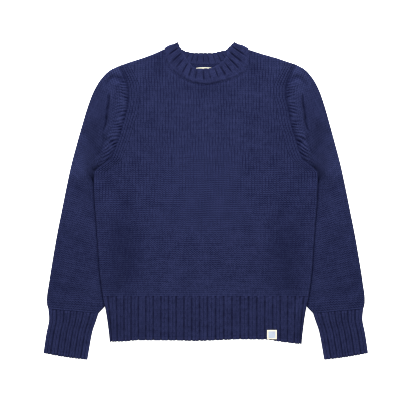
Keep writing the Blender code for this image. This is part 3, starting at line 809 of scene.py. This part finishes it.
# How high the line between a rib's two stitches stands
HEM_MIDLINE = 0.25
RIB_CREST = 3.9
RIB_GROOVE = 1.6
RIB_COLUMNS = (
    # place across one rib, wale, height of the cloth, place of the stitch along its wale
    (0.0, -0.5, 0.0, 0.5), (0.06, -0.25, 0.1, 0.5), (0.125, 0.0, 0.55, 0.5), (0.2138, 0.25, 1.0, 0.0),
    (0.3125, 0.5, 0.75, -0.5), (0.4112, 0.75, 1.0, 0.0), (0.5, 1.0, 0.05, 0.5), (0.5888, 1.25, 1.0, 0.0),
    (0.6875, 1.5, 0.75, -0.5), (0.7862, 1.75, 1.0, 0.0), (0.875, 2.0, 0.55, 0.5), (0.94, 2.25, 0.1, 0.5),
)
RIB_STITCH_DEPTH = 0.7
GROOVE_TONE = 0.22
LIP_TURNS = (30, 60, 90, 120, 150, 180)
LIP_INSIDE = (7, 14)
SEAM_LEVEL = LAYERS - RIB_SEAM_SHARE * SEAM_DEPTH

# The same yarn as the body, its colours painted darker: painted shade of the rib's deep relief
wool_rib = knitted_wool("navy_wool_rib_knit", "2b3055", "06081e")


def rib_columns(count, halved=False):
    """The columns of a ribbed face from edge to edge: share, wale, height and stitch place.

    Where it is halved, each edge runs along the middle of a rib, and otherwise beside one."""
    start = -0.5 if halved else 0.0
    ribs = [np.array(RIB_COLUMNS) + (rib + start, 3 * rib, 0, 0) for rib in range(count + halved)]
    columns = np.vstack(ribs) / (count, 1, 1, 1)
    columns = columns[(columns[:, 0] > TINY) & (columns[:, 0] < 1 - TINY)]
    ends = np.array([(0.0, -0.5, 1.0, 0.0), (1.0, 3 * count - 0.5, 1.0, 0.0)])
    share, wale, height, place = np.vstack((ends[:1], columns, ends[1:])).T
    brink = 0.13 / count
    height = np.where((share < brink) | (share > 1 - brink), 1.0, height)
    return share, wale, height, place


def crowded_ribs(share, parts):
    """The ribs' places across a face, where they crowd and spread in waves, each with its own part."""
    return share - sum(part * np.sin((turn + 1) * np.pi * share) for turn, part in enumerate(parts))


def rib_relief(wale, height, rows, flat_ends):
    """The height of a rib's cloth: its grooves fade towards its ends, and some are tighter."""
    down = np.linspace(0, 1, rows)[:, None]
    fill = np.clip((flat_ends[0] - down) / 0.2, 0, 1) + np.clip((down - 1 + flat_ends[1]) / 0.2, 0, 1)
    rib = np.round(wale / 3)[None, :]
    slack = 0.24 + 0.24 * np.sin(2.4 * rib + 9 * down) * np.sin(1.7 * rib + 23 * down + 2)
    fill = np.clip(fill + slack, 0, 1)
    return height[None, :] + (0.85 - height[None, :]) * fill * (height[None, :] < 0.85)


def rib_layer(plan, wale, height, place, inner_z, direction, base, turned, scallop=0.0, flat_ends=(0.0, 0.0),
              seam_level=None, seam_share=RIB_SEAM_SHARE, inside=LIP_INSIDE, darker=1.0,
              lip_shade=3, seam_tone=0.6, wider=1.0):
    """A ribbed face with its rounded lower lip, from a plan grid that runs from its seam to its edge.

    direction is 1 where the outer face looks up and -1 where it looks down."""
    rows = len(plan)
    full = rib_relief(wale, height, rows, flat_ends) ** wider
    thick = RIB_GROOVE + (RIB_CREST - RIB_GROOVE) * full[-1]
    down = plan[-1] - plan[-2]
    down = down / np.linalg.norm(down, axis=1)[:, None]
    radius = thick / 2
    from_left = lengths_along(plan[rows // 2])
    edge = rounded(np.minimum(from_left, from_left[-1] - from_left))
    grid = plan.copy()
    pull = np.linspace(0, 1, rows)[:, None, None] ** 6
    grid -= pull * (down * (radius * edge - scallop * (height - 0.5))[:, None])[None]
    grid = staggered(grid, place[None, :] + 0 * grid[..., 0], downwards=True)
    hollow = (np.arange(rows) % 2)[:, None]
    from_seam = np.linalg.norm(grid - plan[0], axis=-1)
    knit = np.clip((rows - 1 - np.arange(rows)) / 2, 0, 1)[:, None]
    knit = 1 - RIB_STITCH_DEPTH * hollow * full * 0.6 * knit
    cloth = RIB_GROOVE + (RIB_CREST - RIB_GROOVE) * full
    outer = inner_z + direction * (cloth * knit - seam_dip(from_seam) * seam_share)
    outer[0] = seam_level if direction > 0 else LAYERS - seam_level
    # The grooves between the ribs are painted darker, and the lip more so as it turns under, with its inside
    # darker still: painted shade
    tone = darker * (GROOVE_TONE + (1 - GROOVE_TONE) * full) * (1 - 0.15 * hollow)
    knots = np.sin(2.6 * wale[None, :] + 1.7 * np.arange(rows)[:, None] + np.sin(1.3 * wale)[None, :])
    tone *= 1 + (0.2 * knots - 0.05) * bell(from_seam, 8)
    along = np.linspace(0, 1, rows)[:, None]
    tone *= 1 + 0.08 * np.sin(0.8 * wale + 4 * along) * np.sin(0.37 * wale + 2)
    tone[0] *= seam_tone
    plans, levels, tones = [grid], [outer], [tone]
    end = grid[-1]
    for turn in LIP_TURNS:
        angle = np.radians(turn)
        plans.append((end + down * (radius * edge * np.sin(angle))[:, None])[None])
        levels.append((inner_z + direction * (radius + radius * np.cos(angle)))[None])
        tones.append(tone[-1][None] * (0.25 + 0.75 * np.cos(angle / 2) ** lip_shade))
    for reach in inside:
        plans.append((end - down * reach)[None])
        levels.append((inner_z + 0 * radius)[None])
        tones.append(0.3 * height[None])
    plans, levels, tones = np.concatenate(plans), np.concatenate(levels), np.concatenate(tones)
    z = MIDDLE + (levels - MIDDLE) * edge[None, :] + base(plans[..., 0], plans[..., 1])
    courses = np.arange(len(plans))[:, None] / 2 + 0 * z
    wales = wale[None, :] + 0 * z
    return np.concatenate((plans, z[..., None]), axis=-1), wales, courses, tones, turned


def hem_plan(share):
    """The plan grid of the hem rib, from the seam down to its edge."""
    depth = np.interp((2 * share - 1) * HEM_SEAM_HALF, *np.array(HEM_LINE).T)
    rows = int(round(2 * HEM_HEIGHT / COURSE)) + 1
    down = np.linspace(0, 1, rows)[:, None]
    y = HEM_SEAM * (1 - down) + depth[None, :] * down
    place = (2 * share - 1)[None, :]
    width = HEM_HALF + np.abs(place) ** HEM_UPRIGHT * (smooth(y, BODY_HALF) - HEM_HALF)
    return np.stack((place * width, y), axis=-1)


share, wale, height, place = rib_columns(HEM_RIBS, halved=True)
height = np.where(wale % 3 == 1, HEM_MIDLINE, height)
share = crowded_ribs(share, HEM_CROWDING)
for name, node, inner_z, direction, under in (
    ("front_hem_rib", "front_rib", FRONT_LEVEL, 1, "back_hem_rib"),
    ("back_hem_rib", "back_rib", WALL, -1, None),
):
    thin = 1.0 if direction > 0 else WALL / RIB_CREST
    darker = 1 - 0.1 * np.abs(2 * share - 1) ** 6
    layer = rib_layer(hem_plan(share), wale, height, place, inner_z, direction * thin, body_lift,
                      direction > 0, scallop=1.2, seam_level=SEAM_LEVEL, darker=darker)
    rib = knit_mesh(name, [layer], wool_rib)
    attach(rib, "root")
    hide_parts(node)

# The cuffs
# Short tubes of the same rib, seven ribs to a face, a little narrower than the sleeves that they end.
CUFF_RINGS = (
    # outer x, outer y, inner x, inner y
    (-331, -228, -225.6, -237), (-329.5, -250, -231.5, -255), (-335, -279, -238.5, -276),
    (-341, -319.5, -249, -333.5),
)
CUFF_RIBS = 7
CUFF_LENGTH = 98
CUFF_BULGE = 2.3
CUFF_CROWDING = (-0.008, -0.02)

share, wale, height, place = rib_columns(CUFF_RIBS)
share = crowded_ribs(share, CUFF_CROWDING)
rings = np.array(CUFF_RINGS, dtype=float)
knots = lengths_along(rings[:, :2])
rows = int(round(2 * CUFF_LENGTH / COURSE)) + 1
ends = smooth_through(np.linspace(0, knots[-1], rows), knots, rings)
cuff_plan = ends[:, None, :2] + share[None, :, None] * (ends[:, None, 2:] - ends[:, None, :2])
bulge = CUFF_BULGE * np.sqrt(np.clip(np.sin(np.pi * share), 0, 1))
cuff_plan[..., 1] -= np.linspace(0, 1, rows)[:, None] ** 4 * bulge[None, :]


def on_table(x, y):
    """No lift: the cuffs and the neckband lie on the table itself."""
    return 0.0


for side, word in ((-1, "left"), (1, "right")):
    placed = cuff_plan * (-side, 1)
    layers = [
        rib_layer(placed, wale, height, place, FRONT_LEVEL, 1, on_table, side < 0, scallop=1.0,
                  seam_level=SEAM_LEVEL, seam_tone=0.9, wider=1.3, darker=1.06),
        rib_layer(placed, wale, height, place, WALL, -WALL / RIB_CREST, on_table, side > 0, scallop=1.0,
                  seam_level=SEAM_LEVEL),
    ]
    cuff = knit_mesh(f"cuff_{word}_rib", layers, wool_rib)
    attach(cuff, "root")
    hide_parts(f"cuff_{word}")

# The neckband
# One ring of rib, knitted to double its height, folded over and sewn down inside the neck. Its ribs
# fan out round the front, and the inside of its back half shows above the front one.
COLLAR_RIBS = 15
COLLAR_ROWS = 15
COLLAR_UNEVEN = 0.005
COLLAR_TONE = 1.08
LINING_TONE = 0.84
COLLAR_CORNER = 3.4
CORNER_REACH = 0.05
COLLAR_SEAM_LEVEL = LAYERS - SEAM_DEPTH
LINING_RELIEF = 1.5
COLLAR_MIDLINE = 0.8

share, wale, height, place = rib_columns(COLLAR_RIBS)
height = np.where(wale % 3 == 1, COLLAR_MIDLINE, height)
share = share + COLLAR_UNEVEN * np.sin(57 * share) * np.sin(np.pi * share)
collar_layers = []
for half_name, inner_z, direction in (("front", FRONT_LEVEL, 1), ("back", WALL, -WALL / RIB_CREST)):
    seam_line = resample(neck_lines[f"{half_name}_seam"], share)
    edge_line = resample(neck_lines[f"{half_name}_edge"], share)
    up = np.linspace(0, 1, COLLAR_ROWS)[:, None, None]
    plan = seam_line[None] * (1 - up) + edge_line[None] * up
    corner = COLLAR_CORNER * np.clip(1 - np.minimum(share, 1 - share) / CORNER_REACH, 0, 1) ** 2
    plan[..., 1] += corner[None, :] * np.sin(np.pi * np.clip(up[..., 0] + 0.25, 0, 1))
    options = {"scallop": 1.4, "lip_shade": 5, "seam_level": COLLAR_SEAM_LEVEL, "seam_share": 0.5}
    # The neckband is painted lighter than the other ribs of the same yarn: painted light
    options["darker"] = COLLAR_TONE
    if half_name == "front":
        wider = 0.9 + 2.2 * np.abs(2 * share - 1) + 0.5 * np.sin(1.3 * wale)
        # Painted shadow: the front band's seam row is painted darker in the middle, where the band casts its
        # shadow on the body
        under = 1 - 0.5 * bell(seam_line[:, 0], 34)
        layer = rib_layer(plan, wale, height, place, inner_z, direction, on_table, False,
                          flat_ends=(0.44, 0.2), wider=wider, seam_tone=under, **options)
    else:
        layer = rib_layer(plan, wale, height, place, inner_z, direction, on_table, True,
                          inside=(), seam_tone=1, **options)
        lip = layer[0][-1]
        relief = rib_relief(wale, height, COLLAR_ROWS, (0.2, 0.25))
        lining = seam_line[None] * (1 - up) + lip[None, :, :2] * up
        level = lip[None, :, 2:] - (LINING_RELIEF * (1 - relief) * (1 - up[..., 0] ** 4))[..., None]
        courses = np.arange(COLLAR_ROWS)[:, None] / 2 + 0 * relief
        # The lining is painted darker, and darker in its grooves: painted shade beside and under the front
        # band
        tone = LINING_TONE * (0.4 + 0.6 * relief)
        lining = np.concatenate((lining, level), axis=-1)
        collar_layers.append((lining, wale[None, :] + 0 * relief, courses, tone, False))
    collar_layers.append(layer)
collar = knit_mesh("neckband_rib", collar_layers, wool_rib)
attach(collar, "root")
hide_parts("collar")

# The labels
# Woven polyester tape in cream, bare apart from a plain pale square on the one at the hem. The hem
# label is sewn flat on the ribs, and the neck label hangs inside the back of the neck.
HEM_LABEL = {"x": 138.9, "y": -281.8, "width": 21, "height": 20, "level": 7.6, "thick": 0.8}
SQUARE = {"width": 14.5, "height": 13.6}

tape, tree, shader = new_material("cream_woven_tape")
place = add_node(tree, "TexCoord", {}).outputs["Object"]
# Threads 1 mm apart, drawn about twice as coarse as the real ones so that they show
weave = add_node(tree, "TexWave", {"Vector": place, "Scale": 320.0, "Distortion": 0.3},
                 bands_direction="Y").outputs["Fac"]
across = add_node(tree, "TexWave", {"Vector": place, "Scale": 320.0, "Distortion": 0.3},
                  bands_direction="X").outputs["Fac"]
threads = add_node(tree, "Math", {0: weave, 1: across}, operation="MAXIMUM").outputs[0]
square = add_node(tree, "Attribute", {}, attribute_name="square").outputs["Fac"]
ground = {"Factor": square, "A": hex_colour("f8f3e0"), "B": hex_colour("c9d4e6")}
ground = add_node(tree, "Mix", ground, data_type="RGBA").outputs["Result"]
shade = {"Factor": threads, "A": hex_colour("d4d2cc"), "B": hex_colour("ffffff")}
shade = add_node(tree, "Mix", shade, data_type="RGBA").outputs["Result"]
tone = add_node(tree, "Mix", {"Factor": 1.0, "A": ground, "B": shade}, data_type="RGBA",
                blend_type="MULTIPLY")
# The neck label is painted grey towards its lower edge: painted shade of the neckband over it
shade = add_node(tree, "Attribute", {}, attribute_name="shade").outputs["Fac"]
tone = {"Factor": shade, "A": hex_colour("5a5c60"), "B": tone.outputs["Result"]}
tone = add_node(tree, "Mix", tone, data_type="RGBA")
bump = add_node(tree, "Bump", {"Height": threads, "Strength": 0.4, "Distance": 0.15 * MM})
set_inputs(tree, shader, {
    "Base Color": tone.outputs["Result"], "Normal": bump.outputs[0], "Roughness": 0.8,
    "Specular IOR Level": 0.3,
})


def label_mesh(name, grid, marked, shade):
    """A thin label from a grid of points on its top face, with its edges turned down."""
    rows, columns = grid.shape[:2]
    mesh = bpy.data.meshes.new(name)
    index = np.arange(rows * columns).reshape(rows, columns)
    corners = (index[:-1, :-1], index[:-1, 1:], index[1:, 1:], index[1:, :-1])
    faces = np.stack(corners, axis=-1).reshape(-1, 4)
    mesh.from_pydata((grid.reshape(-1, 3) * MM).tolist(), [], faces.tolist())
    marked = marked.reshape(-1).astype(float)
    mesh.attributes.new("square", "FLOAT", "POINT").data.foreach_set("value", marked)
    mesh.attributes.new("shade", "FLOAT", "POINT").data.foreach_set("value", shade.reshape(-1))
    mesh.materials.append(tape)
    mesh.shade_smooth()
    return add_object(name, mesh)


steps = np.linspace(-1, 1, 43)
across, along = np.meshgrid(steps, steps)
label_x = HEM_LABEL["x"] + across * HEM_LABEL["width"] / 2
label_y = HEM_LABEL["y"] + along * HEM_LABEL["height"] / 2
brink = np.maximum(np.abs(across), np.abs(along))
waviness = 0.25 * np.sin(label_x / 2.6) * np.cos(label_y / 4.1)
label_z = HEM_LABEL["level"] + waviness + np.where(brink > 0.99, -HEM_LABEL["thick"], 0.0)
marked = (np.abs(across) * HEM_LABEL["width"] < SQUARE["width"])
marked = marked & (np.abs(along) * HEM_LABEL["height"] < SQUARE["height"])
hem_label = label_mesh("hem_label_tape", np.stack((label_x, label_y, label_z), axis=-1), marked,
                       np.ones(marked.shape))
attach(hem_label, "root")
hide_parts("hem_label")

NECK_LABEL = {"left": -20, "right": 14, "side_y": 278.8, "middle_y": 280.4, "level": 3.15}
label_x = np.linspace(NECK_LABEL["left"], NECK_LABEL["right"], 35)[None, :]
arch = 1 - np.linspace(-1, 1, 35)[None, :] ** 2
upper_y = NECK_LABEL["side_y"] + (NECK_LABEL["middle_y"] - NECK_LABEL["side_y"]) * arch
lower_y = np.interp(label_x, neck_lines["front_edge"][:, 0], neck_lines["front_edge"][:, 1]) - 1.5
share_up = np.linspace(0, 1, 9)[:, None]
label_y = lower_y * (1 - share_up) + upper_y * share_up
label_z = NECK_LABEL["level"] + 0.5 * share_up + 0 * label_y
grid = np.stack((label_x + 0 * label_y, label_y, label_z), axis=-1)
# Painted shade: greyest at the label's lower edge, under the front band
shade = 0.5 + 0.3 * np.clip(share_up / 0.6, 0, 1) + 0 * label_y
neck_label = label_mesh("neck_label_tape", grid, np.zeros(label_y.shape), shade)
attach(neck_label, "root")
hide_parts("neck_label")
